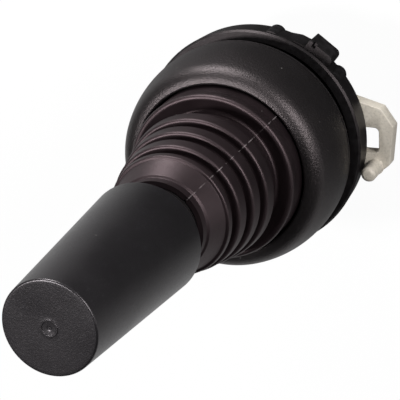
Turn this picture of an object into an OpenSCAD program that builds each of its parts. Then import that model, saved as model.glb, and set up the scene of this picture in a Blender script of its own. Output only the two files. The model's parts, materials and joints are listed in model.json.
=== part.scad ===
// Panel-mounted industrial joystick. A steel lever with a tapered knob turns on a gimbal under a
// ribbed rubber boot. Its actuator plate presses four sprung plungers, which reach out of the rear.
// Millimetres. +Z runs along the lever towards the knob. The origin lies on the lever's axis, where
// the gasket meets the front of the panel. -Y is the side of the clamp ring's square index tab.

/* [Knob] */
// Radius of the knob at its lower rim
knob_root_r = 11.2; // [10:0.1:14]
// Radius of the knob at its free end
knob_end_r = 8.8; // [8:0.1:11]
// Length of the knob
knob_len = 40.9; // [32:0.1:60]
// Rounding of the knob's two rims
knob_round = 0.6; // [0.3:0.1:1.2]
// Gap from the boot's neck to the knob
knob_gap = 5.8; // [5:0.1:9]
// Radius of the raised gate mark on the knob's end
gate_mark_r = 1.6; // [1:0.1:2.5]
// Height of the gate mark
gate_mark_h = 0.15; // [0.1:0.05:0.3]

/* [Lever] */
// Radius of the steel shaft
shaft_r = 3; // [2.8:0.1:3.2]
// Height of the tilt axes above the panel
pivot_z = 8.5; // [8:0.1:9.5]
// Radius of the moulded hub on the tilt axes
hub_r = 5.4; // [5:0.1:5.6]
// Half the height of the hub
hub_half_h = 2.8; // [2.2:0.1:2.9]
// Radius of the sleeve's slim stem
stem_r = 4.6; // [4.2:0.1:5]
// Radius of the sleeve's neck below the knob
neck_r = 6.4; // [5.8:0.1:7]
// Radius of the brass insert in the knob
insert_r = 4.6; // [4.2:0.1:5.5]
// Length of the brass insert
insert_len = 18; // [12:0.5:22]
// Width of the lock nut across its flats
nut_across = 10; // [9:0.1:11]
// Thickness of the lock nut
nut_t = 3.2; // [2.5:0.1:4]

/* [Gimbal] */
// Outer radius of the gimbal ring
gimbal_r = 9.2; // [8.8:0.1:9.6]
// Inner radius of the gimbal ring
gimbal_bore_r = 6.4; // [6.3:0.1:6.8]
// Height of the gimbal ring
gimbal_h = 4.6; // [4:0.1:4.8]
// Radius of the four tilt pins
pin_r = 1.25; // [1:0.05:1.4]

/* [Actuator and plungers] */
// Radius of the actuator plate
actuator_r = 7.4; // [7:0.1:7.6]
// Thickness of the actuator plate
actuator_t = 2; // [1.6:0.1:2.2]
// Height of the actuator plate's lower face above the panel
actuator_z = 2; // [1.9:0.1:2.4]
// Distance of each plunger from the lever's axis
plunger_off = 5.2; // [4.9:0.1:5.4]
// Radius of a plunger's stem
plunger_r = 1.5; // [1.3:0.05:1.6]
// Clear height between a plunger's tip and the actuator plate
plunger_gap = 0.6; // [0.6:0.05:0.8]
// Radius of a plunger's spring collar
collar_r = 2.5; // [2.3:0.05:2.6]
// Thickness of a plunger's spring collar
collar_t = 1.3; // [1:0.1:1.6]
// Length that a plunger stands out of the rear cover
plunger_out = 1.6; // [1.4:0.1:3]
// Largest travel of a plunger, up or down
plunger_travel = 1.14; // [1.14:0.02:1.2]
// Radius of the spring wire
wire_r = 0.3; // [0.2:0.02:0.34]
// Turns in each plunger spring
spring_turns = 7; // [5:1:9]

/* [Bezel and gasket] */
// Width of the bezel from its opening to its girth
bezel_w = 5.1; // [4.8:0.1:8]
// Height of the bezel above its rear rim
bezel_h = 15.5; // [14.5:0.1:18]
// Height of the bezel's widest girth above its rear rim
girth_z = 4; // [3:0.1:5]
// Radius of the bezel's rounded crest
crest_r = 3.9; // [3.4:0.1:4.2]
// Rounding of the opening's lip
lip_r = 0.5; // [0.3:0.05:0.8]
// Depth of the parting groove near the bezel's rear rim
parting_d = 0.25; // [0.1:0.05:0.4]
// Distance of the gasket's edge in from the flange's edge
gasket_in = 0.8; // [0.4:0.1:3]
// Thickness of the gasket
gasket_t = 1; // [0.8:0.1:1.5]

/* [Housing] */
// Outer radius of the barrel that passes through the panel
barrel_r = 11.1; // [11:0.05:11.2]
// Wall of the barrel
barrel_wall = 1.5; // [1.3:0.1:1.6]
// Step from the barrel down to the rear spigot
spigot_step = 0.2; // [0.1:0.05:0.3]
// Length of the barrel behind the panel's front
barrel_len = 25; // [22:0.5:32]
// Wall of the bezel round the housing flange
flange_edge = 1.4; // [1.2:0.05:1.5]
// Thickness of the housing flange
flange_t = 2.5; // [2:0.1:3]
// Outer radius of the bearing cup
cup_r = 15.6; // [15.4:0.05:15.7]
// Wall of the bearing cup
cup_wall = 2; // [1.8:0.1:2.2]
// Height of the bearing cup's top above the tilt axes
cup_over = 3.5; // [3.3:0.1:4]
// Width of each bearing block
block_w = 8; // [7:0.1:9]
// Thickness of the retaining plate on the cup
retainer_t = 1.2; // [1:0.1:1.5]
// Inner radius of the retaining plate
retainer_bore_r = 10; // [9.9:0.1:10.6]
// Width of the anti-rotation key
key_w = 3; // [2:0.1:4]
// Height of the key above the barrel
key_h = 1.1; // [0.6:0.1:1.2]
// Distance of the bezel screws in from the flange's edge
bezel_screw_in = 2; // [1.9:0.05:2.1]
// Length of the bezel screws
bezel_screw_len = 7; // [6:0.1:8]
// Distance of the retaining screws in from the cup's edge
plate_screw_in = 2.4; // [2.2:0.1:2.6]
// Length of the retaining screws below the plate
plate_screw_len = 3; // [2.5:0.1:3.3]

/* [Boot] */
// Wall of the rubber boot
boot_wall = 1.2; // [1:0.05:1.3]
// Gap from the bearing cup to the boot's skirt
cup_gap = 0.5; // [0.4:0.05:0.6]
// Running room between the boot's skirt and the bezel's opening
boot_room = 0.4; // [0.3:0.05:0.5]
// Height of the wide ridge above the bezel's crest
wide_ridge_up = 5.3; // [4.5:0.1:6]
// Step from the skirt in to the wide ridge
wide_ridge_in = 0.1; // [0:0.05:0.5]
// Step from the skirt in to the lowest small ridge
ridge_in = 2.3; // [1.8:0.1:2.8]
// Step in radius from one small ridge to the next
ridge_taper = 0.95; // [0.8:0.01:1.1]
// Height from one small ridge to the next
ridge_pitch = 5.05; // [4.6:0.05:5.4]
// Depth of the valleys between ridges
ridge_depth = 2.4; // [1.8:0.1:2.8]
// Radius of each ridge's rounding
ridge_round = 1.1; // [0.9:0.05:1.25]
// Outer radius of the boot's neck
boot_neck_r = 9.2; // [8.8:0.1:9.6]
// Height of the smooth neck cone
boot_neck_h = 6.1; // [5.5:0.1:7]

/* [Clamp ring] */
// Largest thickness of panel that fits
panel_gap = 2.5; // [2.1:0.1:6]
// Outer radius of the clamp ring
clamp_r = 23.6; // [23:0.1:25]
// Thickness of the clamp ring
clamp_t = 6; // [5:0.1:8]
// Draft of the clamp ring's outer wall
clamp_draft = 0.4; // [0.1:0.1:0.8]
// Wall of the clamp ring's rim and hub
clamp_wall = 1.8; // [1.4:0.1:2.4]
// Thickness of the clamp ring's web
web_t = 2; // [1.6:0.1:3]
// Number of ribs on the web
rib_count = 12; // [6:1:18]
// Thickness of each rib
rib_t = 1.2; // [0.8:0.1:1.6]
// Width of the index tab
tab_w = 6.2; // [5.4:0.1:8]
// Reach of the index tab beyond the rim
tab_h = 2; // [1.6:0.1:3]
// Width and depth of the notch in the tab's front edge
tab_notch = 0.9; // [0.5:0.1:1.2]
// Height of the ramp that runs up to the tab
ramp_h = 0.4; // [0.2:0.05:0.8]
// Radius of each half-round bump
bump_r = 1.9; // [1.5:0.1:2.4]
// Height of each bump above the rim
bump_h = 0.3; // [0.2:0.05:0.6]

/* [Locking ring] */
// Thickness of the locking ring
lock_t = 3.3; // [2.6:0.1:4]
// Outer radius of the locking ring
lock_r = 16; // [15:0.1:18]
// Reach of the locking ring's arm
arm_reach = 28.9; // [28:0.1:31]
// Length of the slot in the arm
slot_len = 5.4; // [4.5:0.1:6.5]
// Width of the slot in the arm
slot_w = 4.2; // [3.5:0.1:4.6]
// Width of the arm outside its slot
arm_rim = 3.3; // [2.8:0.1:4]
// Radius of the finger post
post_r = 1.6; // [1.2:0.05:1.6]
// Height of the finger post
post_h = 5.6; // [4:0.1:5.8]
// Height of the bayonet lugs above the barrel
lug_h = 1.4; // [1:0.1:1.6]
// Width of each bayonet lug
lug_w = 5; // [4:0.1:6]
// Thickness of each bayonet lug
lug_t = 2; // [1.5:0.1:3]

/* [Rear cover and clearances] */
// Radius of the rear cover
cover_r = 10.6; // [10:0.1:10.7]
// Thickness of the rear cover
cover_t = 2; // [1.5:0.1:3]
// Length of the cover screws inside the spring block
cover_screw_len = 4; // [3:0.1:4.8]
// Radial clearance of pins and plungers in their bores
running = 0.05; // [0.02:0.01:0.08]
// Clearance between pieces that are pushed together
seat = 0.05; // [0.02:0.01:0.1]
// Clearance between pieces that turn or slide past each other
room = 0.3; // [0.2:0.05:0.4]

/* [Hidden] */

$fn = 96;
eps = 0.01;
fuse = 0.4;
DIRECTIONS = 4;
EAST = 0;
NORTH = 90;
WEST = 180;
SOUTH = 270;

BLACK = [0.10, 0.10, 0.11];
RUBBER = [0.16, 0.13, 0.14];
CREAM = [0.87, 0.84, 0.77];
STEEL = [0.72, 0.73, 0.75];
BRASS = [0.78, 0.62, 0.30];
GREY = [0.42, 0.43, 0.45];

// Radii that follow from the bearing cup outwards
skirt_r = cup_r + cup_gap + boot_wall;
opening_r = skirt_r + boot_room;
bezel_r = opening_r + bezel_w;
flange_r = bezel_r - flange_edge;
gasket_r = flange_r - gasket_in;
bezel_screw_circle = flange_r - bezel_screw_in;
plate_screw_x = cup_r - plate_screw_in;
wide_ridge_r = skirt_r - wide_ridge_in;
ridge_r = skirt_r - ridge_in;

// Heights that follow from the sizes above
rim_z = gasket_t;
flange_z = rim_z + flange_t;
crest_z = rim_z + bezel_h;
cup_z = pivot_z + cup_over;
wide_z = crest_z + wide_ridge_up;
first_ridge_up = 5.5;
small_ridges = 4;
ridge_z = wide_z + first_ridge_up;
last_ridge_z = ridge_z + (small_ridges - 1) * ridge_pitch;
boot_top_z = last_ridge_z + boot_neck_h;
knob_z = boot_top_z + knob_gap;
knob_top_z = knob_z + knob_len;
neck_into_knob = 0.4;
neck_top_z = knob_z + neck_into_knob;
nut_z = neck_top_z + nut_t;
insert_z = nut_z + seat;
shaft_tip = 2;
shaft_top_z = insert_z + insert_len - shaft_tip;
shaft_z = actuator_z + actuator_t;
bore_r = barrel_r - barrel_wall;
cup_bore_r = cup_r - cup_wall;

// Places of the boot's groove on the cup
groove_z = flange_z + 1.5;
groove_h = 2;
groove_d = 0.7;

// Places of the plungers, guide plate and spring block
guide_top_z = -0.3;
guide_t = 1.2;
guide_z = guide_top_z - guide_t;
guide_edge = 0.1;
spring_seat_z = -17;
spring_pocket_r = collar_r + 0.2;
collar_top_z = guide_z - plunger_travel - 0.26;
collar_z = collar_top_z - collar_t;
plunger_top_z = actuator_z - plunger_gap;
plunger_end_z = -barrel_len - cover_t - plunger_out;
coil_r = collar_r - wire_r - 0.15;
cover_screw_off = plunger_off + 1.3;

// Places behind the panel
clamp_z = -panel_gap - clamp_t;
lock_front_z = clamp_z - room;
lock_z = lock_front_z - lock_t;
lug_front_z = lock_z - room;
lug_angles = [30, 150, 270];
lock_turn = 35;
slide_r = barrel_r + room;
spigot_r = barrel_r - spigot_step;
spigot_room = 0.6;
spigot_top_z = lug_front_z - lug_t - spigot_room;

// Angles round the clamp ring and the locking arm
tab_angle = -90;
ramp_angles = [-70, -84];
bump_angles = [-64, -103.6];
slot_angle = -142.7;
post_angle = -155.5;
post_off = clamp_r + room + post_r;

function polar(r, a) = [r * cos(a), r * sin(a)];

module tube(r_out, r_in, z_low, z_high) {
    translate([0, 0, z_low]) difference() {
        cylinder(r = r_out, h = z_high - z_low);
        translate([0, 0, -1]) cylinder(r = r_in, h = z_high - z_low + 2);
    }
}

module rod(r, z_low, z_high) {
    translate([0, 0, z_low]) cylinder(r = r, h = z_high - z_low);
}

// ---------- knob and lever ----------

module knob_outline() {
    low = [knob_root_r - knob_round, knob_z + knob_round];
    high = [knob_end_r - knob_round, knob_top_z - knob_round];
    run = high - low;
    side = knob_round * [run[1], -run[0]] / norm(run);
    polygon([[0, knob_z], [low[0], knob_z], low + side, high + side, [high[0], knob_top_z], [0, knob_top_z]]);
    for (corner = [low, high]) translate(corner) circle(r = knob_round);
}

module knob() {
    recess_r = nut_across / 2 / cos(30) + room + 1;
    mark_w = 0.3;
    color(BLACK) {
        difference() {
            rotate_extrude() knob_outline();
            rod(recess_r, knob_z - 1, insert_z);
            rod(insert_r + seat, insert_z - eps, insert_z + insert_len + seat);
        }
        tube(gate_mark_r, gate_mark_r - mark_w, knob_top_z - eps, knob_top_z + gate_mark_h);
    }
}

module knob_insert() {
    knurls = 3;
    knurl_d = 0.4;
    pitch = insert_len / (knurls + 1);
    color(BRASS) difference() {
        rod(insert_r, insert_z, insert_z + insert_len);
        rod(shaft_r + seat, insert_z - 1, shaft_top_z + seat);
        for (i = [1 : knurls])
            translate([0, 0, insert_z + i * pitch]) tube(insert_r + 1, insert_r - knurl_d, -knurl_d, knurl_d);
    }
}

module lock_nut() {
    hex_r = nut_across / 2 / cos(30);
    color(STEEL) difference() {
        translate([0, 0, neck_top_z]) intersection() {
            cylinder(r = hex_r, h = nut_t, $fn = 6);
            translate([0, 0, -eps]) cylinder(r = hex_r - 0.2, h = nut_t + 2 * eps);
        }
        rod(shaft_r + seat, neck_top_z - 1, nut_z + 1);
    }
}

module lever_shaft() {
    chamfer = 0.5;
    thread_r = 1.5;
    color(STEEL) difference() {
        union() {
            rod(shaft_r, shaft_z, shaft_top_z - chamfer);
            translate([0, 0, shaft_top_z - chamfer]) cylinder(r1 = shaft_r, r2 = shaft_r - chamfer, h = chamfer);
        }
        rod(thread_r + seat, shaft_z - 1, pivot_z - pin_r - 0.8);
        translate([0, 0, pivot_z]) rotate([90, 0, 0]) cylinder(r = pin_r + seat, h = 3 * shaft_r, center = true);
    }
}

// The sleeve carries the boot's neck and fills the space between boot and knob
module stem_sleeve() {
    head_r = boot_neck_r - boot_wall - seat;
    head_z = boot_top_z - 4.5;
    flare = 3;
    foot_z = pivot_z + hub_half_h + 0.2;
    color(BLACK) difference() {
        rotate_extrude() polygon([[0, foot_z], [stem_r, foot_z], [stem_r, head_z - flare], [head_r, head_z],
            [head_r, boot_top_z], [neck_r, boot_top_z + 0.6], [neck_r, neck_top_z], [0, neck_top_z]]);
        rod(shaft_r + seat, foot_z - 1, neck_top_z + 1);
    }
}

module pivot_hub() {
    color(GREY) difference() {
        rod(hub_r, pivot_z - hub_half_h, pivot_z + hub_half_h);
        rod(shaft_r + seat, 0, pivot_z + hub_half_h + 1);
        translate([0, 0, pivot_z]) rotate([90, 0, 0]) cylinder(r = pin_r + seat, h = 3 * hub_r, center = true);
    }
}

module pivot_pin() {
    color(STEEL) translate([0, 0, pivot_z]) rotate([90, 0, 0])
        cylinder(r = pin_r, h = 2 * (gimbal_r - 0.3), center = true);
}

module actuator_plate() {
    edge = 0.4;
    head_r = 2.9;
    screw_r = 1.5;
    color(GREY) difference() {
        rotate_extrude() polygon([[0, actuator_z], [actuator_r - edge, actuator_z],
            [actuator_r, actuator_z + edge], [actuator_r, shaft_z - edge], [actuator_r - edge, shaft_z],
            [0, shaft_z]]);
        rod(screw_r + 2 * seat, actuator_z - 1, shaft_z + 1);
        translate([0, 0, actuator_z - eps])
            cylinder(r1 = head_r + seat, r2 = screw_r + seat, h = head_r - screw_r + seat);
    }
}

module plate_screw() {
    head_r = 2.9;
    screw_r = 1.5;
    drive_r = 1;
    drive_d = 0.7;
    color(STEEL) difference() {
        union() {
            translate([0, 0, actuator_z]) cylinder(r1 = head_r, r2 = screw_r, h = head_r - screw_r);
            rod(screw_r, actuator_z + 0.5, pivot_z - pin_r - 1);
        }
        translate([0, 0, actuator_z - eps]) cylinder(r = drive_r, h = drive_d, $fn = 6);
    }
}

// ---------- gimbal ----------

module gimbal_ring() {
    color(GREY) translate([0, 0, pivot_z]) difference() {
        cylinder(r = gimbal_r, h = gimbal_h, center = true);
        cylinder(r = gimbal_bore_r, h = gimbal_h + 1, center = true);
        rotate([0, 90, 0]) cylinder(r = pin_r + seat / 2, h = 3 * gimbal_r, center = true);
        rotate([90, 0, 0]) cylinder(r = pin_r + running, h = 3 * gimbal_r, center = true);
    }
}

module gimbal_pins() {
    inner = gimbal_bore_r + 0.3;
    outer = cup_bore_r - 0.4;
    color(STEEL) for (side = [0, 180]) rotate([0, 0, side]) translate([inner, 0, pivot_z]) rotate([0, 90, 0])
        cylinder(r = pin_r, h = outer - inner);
}

// ---------- boot ----------

function ridge_at(i) = [ridge_r - ridge_round - i * ridge_taper, ridge_z + i * ridge_pitch];
function valley_at(i) = [ridge_r - ridge_depth - boot_wall / 2 - (i - 0.5) * ridge_taper,
    ridge_z + (i - 0.5) * ridge_pitch];

skirt_mid_r = skirt_r - boot_wall / 2;
wide_ridge = [wide_ridge_r - ridge_round, wide_z];
first_valley = [ridge_r - ridge_depth + 1, (wide_z + ridge_z) / 2 + 0.2];
seam = valley_at(1);
seam_gap = 0.15;
lower_line = [[skirt_mid_r, groove_z], [skirt_mid_r, crest_z], wide_ridge, first_valley, ridge_at(0), seam];
neck_mid_r = boot_neck_r - boot_wall / 2;
upper_line = [seam, ridge_at(1), valley_at(2), ridge_at(2), valley_at(3), ridge_at(3),
    [neck_mid_r + 1.1, last_ridge_z + 1.6], [neck_mid_r, boot_top_z - 3.6], [neck_mid_r, boot_top_z]];

// A wall of even thickness along a line of points, with a round lobe at each ridge
module bellows(line, lobes) {
    for (i = [0 : len(line) - 2]) {
        along = line[i + 1] - line[i];
        across = boot_wall / 2 * [along[1], -along[0]] / norm(along);
        polygon([line[i] + across, line[i + 1] + across, line[i + 1] - across, line[i] - across]);
    }
    for (i = [1 : len(line) - 2]) translate(line[i]) circle(r = boot_wall / 2);
    for (i = lobes) translate(line[i]) circle(r = ridge_round);
}

module boot_lower() {
    color(RUBBER) difference() {
        rotate_extrude() {
            bellows(lower_line, [2, 4]);
            translate([cup_r - groove_d + seat, groove_z + 0.1])
                square([skirt_r - cup_r + groove_d - seat, groove_h - 0.2]);
        }
        rod(2 * skirt_r, seam[1] - seam_gap, seam[1] + 5);
    }
}

module boot_upper() {
    color(RUBBER) difference() {
        rotate_extrude() bellows(upper_line, [1, 3, 5]);
        rod(2 * skirt_r, seam[1] - 5, seam[1] + seam_gap);
    }
}

// ---------- bezel, gasket and housing ----------

module bezel_outline() {
    crest = [opening_r, crest_z - crest_r];
    girth = [bezel_r, rim_z + girth_z];
    step = crest - girth;
    flank_r = (crest_r * crest_r - step * step) / (2 * (step[0] + crest_r));
    flank = [bezel_r - flank_r, girth[1]];
    meet = (crest - flank) / norm(crest - flank);
    far = 3 * crest_r;
    intersection() {
        translate(flank) circle(r = flank_r, $fn = 360);
        polygon([[opening_r, rim_z], [bezel_r + far, rim_z], crest + far * meet, crest]);
    }
    difference() {
        intersection() {
            translate(crest) circle(r = crest_r);
            translate(crest) square(crest_r + 1);
        }
        translate([opening_r - 1, crest_z - lip_r]) square([1 + lip_r, 2 * lip_r]);
    }
    translate([opening_r + lip_r, crest_z - lip_r]) intersection() {
        circle(r = lip_r);
        translate([-lip_r, -lip_r]) square([lip_r + 0.1, 2 * lip_r]);
    }
}

module bezel() {
    groove_up = 0.9;
    groove_w = 0.35;
    pilot_r = 0.85;
    pilot_end_z = rim_z + bezel_screw_len + 1.5;
    color(BLACK) difference() {
        rotate_extrude() bezel_outline();
        rod(flange_r + seat, 0, flange_z + seat);
        tube(bezel_r + 1, bezel_r - 0.22 - parting_d, rim_z + groove_up, rim_z + groove_up + groove_w);
        for (i = [0 : 3]) rotate([0, 0, 45 + 90 * i]) translate([bezel_screw_circle, 0, 0])
            rod(pilot_r + seat, flange_z, pilot_end_z);
    }
}

module gasket() {
    lip_w = 0.8;
    lip_d = 0.25;
    bore = barrel_r + key_h + room + 0.1;
    mid = (gasket_r + bore) / 2;
    color(RUBBER) difference() {
        tube(gasket_r, bore, 0, gasket_t);
        tube(mid + lip_w, mid - lip_w, gasket_t - lip_d, gasket_t + 1);
    }
}

module screw_hole(head_r, shank_r, z_head, z_end) {
    translate([0, 0, z_head - eps]) cylinder(r1 = head_r, r2 = shank_r, h = head_r - shank_r + eps);
    rod(shank_r, z_head - 1, z_end);
}

module bearing_blocks() {
    block_front = gimbal_r + 1;
    intersection() {
        rod(cup_r - fuse, flange_z - fuse, cup_z);
        for (side = [0, 180]) rotate([0, 0, side]) translate([block_front, -block_w / 2, flange_z - fuse])
            cube([cup_r - block_front, block_w, cup_z - flange_z + fuse]);
    }
}

module bayonet_lugs() {
    for (a = lug_angles) rotate([0, 0, a]) intersection() {
        tube(barrel_r + lug_h, bore_r + 0.5, lug_front_z - lug_t, lug_front_z);
        translate([0, -lug_w / 2, lug_front_z - lug_t]) cube([barrel_r + lug_h + 1, lug_w, lug_t]);
    }
}

module anti_rotation_key() {
    rotate([0, 0, NORTH]) intersection() {
        tube(barrel_r + key_h, bore_r + 0.5, -panel_gap + room, rim_z + fuse);
        translate([0, -key_w / 2, -panel_gap]) cube([barrel_r + key_h + 1, key_w, panel_gap + rim_z + 1]);
    }
}

module housing() {
    pilot_r = 0.7;
    color(BLACK) difference() {
        union() {
            rod(flange_r, rim_z, flange_z);
            rod(barrel_r, spigot_top_z + spigot_step, rim_z + fuse);
            rod(spigot_r, -barrel_len, spigot_top_z + spigot_step);
            translate([0, 0, spigot_top_z]) cylinder(r1 = spigot_r, r2 = barrel_r, h = spigot_step);
            tube(cup_r, cup_bore_r, flange_z - fuse, cup_z);
            bearing_blocks();
            bayonet_lugs();
            anti_rotation_key();
        }
        rod(bore_r, -barrel_len - 1, flange_z + eps);
        tube(cup_r + 1, cup_r - groove_d, groove_z, groove_z + groove_h);
        translate([0, 0, pivot_z]) rotate([0, 90, 0])
            cylinder(r = pin_r + running, h = 2 * cup_bore_r, center = true);
        for (side = [-1, 1], end = [-1, 1]) translate([side * plate_screw_x, end * block_w / 3, 0])
            rod(pilot_r + seat, cup_z - plate_screw_len - 0.5, cup_z + 1);
        for (i = [0 : 3]) rotate([0, 0, 45 + 90 * i]) translate([bezel_screw_circle, 0, 0])
            screw_hole(1.75, 1.05, rim_z, flange_z + 1);
    }
}

module bezel_screws() {
    head_r = 1.7;
    shank_r = 0.85;
    color(STEEL) for (i = [0 : 3]) rotate([0, 0, 45 + 90 * i]) translate([bezel_screw_circle, 0, rim_z])
        difference() {
            union() {
                cylinder(r1 = head_r, r2 = shank_r, h = head_r - shank_r);
                cylinder(r = shank_r, h = bezel_screw_len);
            }
            translate([0, 0, -eps]) cylinder(r = 0.6, h = 0.5, $fn = 6);
        }
}

module retaining_plate() {
    color(GREY) difference() {
        tube(cup_r, retainer_bore_r, cup_z, cup_z + retainer_t);
        for (side = [-1, 1], end = [-1, 1]) translate([side * plate_screw_x, end * block_w / 3, 0])
            rod(0.85, cup_z - 1, cup_z + retainer_t + 1);
    }
}

module retaining_screws() {
    head_r = 1.4;
    head_h = 0.9;
    slot = 0.4;
    color(STEEL) for (side = [-1, 1], end = [-1, 1]) translate([side * plate_screw_x, end * block_w / 3, cup_z])
        difference() {
            union() {
                translate([0, 0, retainer_t]) cylinder(r = head_r, h = head_h);
                translate([0, 0, -plate_screw_len]) cylinder(r = 0.7, h = retainer_t + plate_screw_len + eps);
            }
            translate([-head_r, -slot / 2, retainer_t + head_h - slot]) cube([2 * head_r, slot, 1]);
        }
}

// ---------- plungers, springs and rear ----------

module each_plunger_hole(r, z_low, z_high) {
    for (i = [0 : DIRECTIONS - 1]) rotate([0, 0, 90 * i]) translate([plunger_off, 0, 0]) rod(r, z_low, z_high);
}

module plunger_guide() {
    color(GREY) difference() {
        rod(bore_r - guide_edge, guide_z, guide_top_z);
        each_plunger_hole(plunger_r + running, guide_z - 1, guide_top_z + 1);
    }
}

module spring_block() {
    core_r = 1.4;
    color(BLACK) difference() {
        rod(bore_r - seat, -barrel_len, guide_z);
        each_plunger_hole(spring_pocket_r, spring_seat_z, guide_z + 1);
        each_plunger_hole(plunger_r + running, -barrel_len - 1, spring_seat_z + 1);
        rod(core_r, spring_seat_z, guide_z + 1);
        for (a = [45, 225]) rotate([0, 0, a]) translate([cover_screw_off, 0, 0])
            rod(0.7 + seat, -barrel_len - 1, -barrel_len + cover_screw_len + 1);
    }
}

module rear_cover() {
    edge = 0.4;
    color(BLACK) difference() {
        rotate_extrude() polygon([[0, -barrel_len - cover_t], [cover_r - edge, -barrel_len - cover_t],
            [cover_r, -barrel_len - cover_t + edge], [cover_r, -barrel_len], [0, -barrel_len]]);
        each_plunger_hole(plunger_r + 2 * running, -barrel_len - cover_t - 1, -barrel_len + 1);
        each_plunger_hole(plunger_r + 0.8, -barrel_len - cover_t - 1, -barrel_len - cover_t + 0.5);
        for (a = [45, 225]) rotate([0, 0, a]) translate([cover_screw_off, 0, 0])
            rod(0.85, -barrel_len - cover_t - 1, -barrel_len + 1);
    }
}

module cover_screws() {
    head_r = 1.5;
    head_h = 0.9;
    slot = 0.4;
    color(STEEL) for (a = [45, 225]) rotate([0, 0, a]) translate([cover_screw_off, 0, -barrel_len - cover_t])
        difference() {
            union() {
                translate([0, 0, -head_h]) cylinder(r = head_r, h = head_h);
                translate([0, 0, -eps]) cylinder(r = 0.7, h = cover_t + cover_screw_len);
            }
            translate([-head_r, -slot / 2, -head_h - eps]) cube([2 * head_r, slot, slot]);
        }
}

module plunger(angle) {
    tail_r = 0.4;
    color(CREAM) rotate([0, 0, angle]) translate([plunger_off, 0, 0]) {
        intersection() {
            rod(plunger_r, plunger_end_z + tail_r, plunger_top_z);
            union() {
                rod(plunger_r + 1, plunger_end_z, plunger_top_z - plunger_r);
                translate([0, 0, plunger_top_z - plunger_r]) sphere(r = plunger_r);
            }
        }
        translate([0, 0, plunger_end_z]) cylinder(r1 = plunger_r - tail_r, r2 = plunger_r, h = tail_r + eps);
        rod(collar_r, collar_z, collar_top_z);
    }
}

// The spring wire is swept along a helix, one ring of points after another
module spring(angle) {
    sides = 6;
    per_turn = 12;
    steps = per_turn * spring_turns;
    z_low = spring_seat_z + wire_r + 0.02;
    z_high = collar_z - wire_r - 0.02;
    points = [for (i = [0 : steps], s = [0 : sides - 1])
        let (turn = 360 * i / per_turn, across = 360 * s / sides, r = coil_r + wire_r * cos(across))
        [r * cos(turn), r * sin(turn), z_low + (z_high - z_low) * i / steps + wire_r * sin(across)]];
    walls = [for (i = [0 : steps - 1], s = [0 : sides - 1])
        let (a = i * sides + s, b = i * sides + (s + 1) % sides) [a, b, b + sides, a + sides]];
    first_cap = [for (s = [sides - 1 : -1 : 0]) s];
    last_cap = [for (s = [0 : sides - 1]) steps * sides + s];
    color(STEEL) rotate([0, 0, angle]) translate([plunger_off, 0, 0])
        polyhedron(points, concat(walls, [first_cap, last_cap]));
}

// ---------- clamp ring and locking ring ----------

module notches(r, w, turn, z_low, z_high) {
    for (a = lug_angles) rotate([0, 0, a + turn]) translate([0, -w / 2, z_low]) cube([r, w, z_high - z_low]);
}

// The tab has one sharp corner, one round corner and a small notch that marks the neutral position
module index_tab() {
    sharp_r = 0.25;
    round_r = 1.2;
    front_z = -panel_gap - 0.7;
    inner = clamp_r - clamp_wall;
    tab_r = clamp_r + tab_h;
    half = tab_w / 2;
    rotate([0, 0, tab_angle]) difference() {
        translate([0, 0, clamp_z]) linear_extrude(height = front_z - clamp_z) {
            translate([inner, -half]) square([tab_r - inner - round_r, half]);
            translate([inner, 0]) square([tab_r - inner - sharp_r, half]);
            translate([inner, round_r - half]) square([tab_r - inner, tab_w - round_r - sharp_r]);
            translate([tab_r - round_r, round_r - half]) circle(r = round_r);
            translate([tab_r - sharp_r, half - sharp_r]) circle(r = sharp_r);
        }
        translate([tab_r - tab_notch, half - 2 * tab_notch, front_z - tab_notch]) cube([2, tab_notch, 2]);
    }
}

module tab_ramp() {
    low = clamp_r - clamp_wall / 2;
    translate([0, 0, clamp_z]) linear_extrude(height = clamp_t - 0.9) polygon([polar(low, ramp_angles[0]),
        polar(clamp_r - clamp_draft - 0.1, ramp_angles[0]), polar(clamp_r + ramp_h / 2, ramp_angles[0] - 7),
        polar(clamp_r + ramp_h, ramp_angles[1]), polar(low, ramp_angles[1])]);
}

module clamp_ring() {
    rim_in = clamp_r - clamp_wall - clamp_draft;
    hub_r = slide_r + clamp_wall + lug_h;
    web_z = clamp_z + clamp_t / 2;
    notch_r = barrel_r + lug_h + room;
    rib_front = 1;
    rib_back = 0.6;
    color(BLACK) difference() {
        union() {
            rotate_extrude() polygon([[rim_in, clamp_z], [clamp_r - clamp_draft, clamp_z],
                [clamp_r, -panel_gap - 0.4], [clamp_r - 0.4, -panel_gap], [rim_in, -panel_gap]]);
            tube(hub_r, slide_r, clamp_z, -panel_gap - 0.2);
            tube(rim_in + fuse, hub_r - fuse, web_z - web_t / 2, web_z + web_t / 2);
            for (i = [0 : rib_count - 1]) rotate([0, 0, 360 * (i + 0.5) / rib_count])
                translate([hub_r - fuse, -rib_t / 2, clamp_z + rib_back])
                    cube([rim_in - hub_r + 2 * fuse, rib_t, clamp_t - rib_back - rib_front]);
            index_tab();
            tab_ramp();
            intersection() {
                tube(clamp_r + 2 * bump_h, rim_in + fuse, clamp_z, -panel_gap - 0.9);
                for (a = bump_angles) rotate([0, 0, a]) translate([clamp_r + bump_h - bump_r, 0, 0])
                    rod(bump_r, clamp_z - 1, 0);
            }
        }
        rod(slide_r, clamp_z - 1, 0);
        intersection() {
            rod(notch_r, clamp_z - 1, 0);
            notches(notch_r + 1, lug_w + 2 * room, 0, clamp_z - 1, 0);
        }
    }
}

module arm_outline() {
    root_r = slide_r + 2;
    shoulder_r = arm_reach - 7.3;
    polygon([polar(root_r, slot_angle + 41), polar(shoulder_r, slot_angle + 23.5),
        polar(arm_reach - 1.9, slot_angle + 14.7),
        polar(arm_reach, slot_angle + 6.2), polar(arm_reach - 0.5, slot_angle - 2.8),
        polar(arm_reach - 0.5, slot_angle - 10.3), polar(arm_reach - 2.8, slot_angle - 17.3),
        polar(root_r, slot_angle - 34)]);
}

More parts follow.
